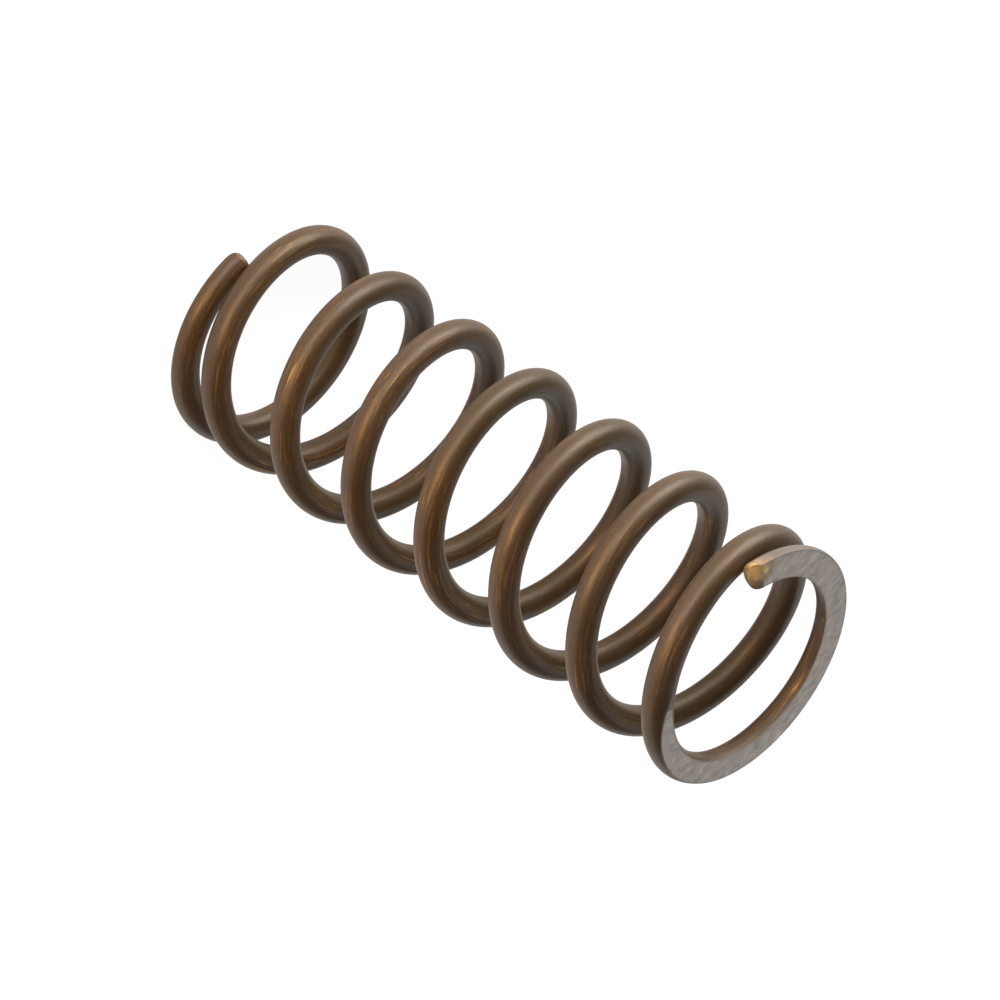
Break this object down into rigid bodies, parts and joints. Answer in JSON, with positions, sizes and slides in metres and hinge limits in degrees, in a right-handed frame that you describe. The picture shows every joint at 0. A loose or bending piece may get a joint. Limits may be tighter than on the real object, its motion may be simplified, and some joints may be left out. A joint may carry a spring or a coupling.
{
  "type": "compression spring",
  "caption": "Small helical compression spring of round tempered steel wire, with closed ends ground flat so that it stands square and pushes straight.",
  "frame": {"origin": "centre of the lower ground end, on the spring's axis", "axes": "+Z along the spring's axis towards its upper end, +X towards the tip of the wire at the lower end; the wire winds right-handed"},
  "size_m": [0.0084, 0.0084, 0.023],
  "materials": {
    "tempered_wire": "drawn spring wire tempered to a bronze brown, ground bright on its two end faces"
  },
  "bodies": {
    "root": {"spring": "tempered_wire"}
  },
  "joints": []
}
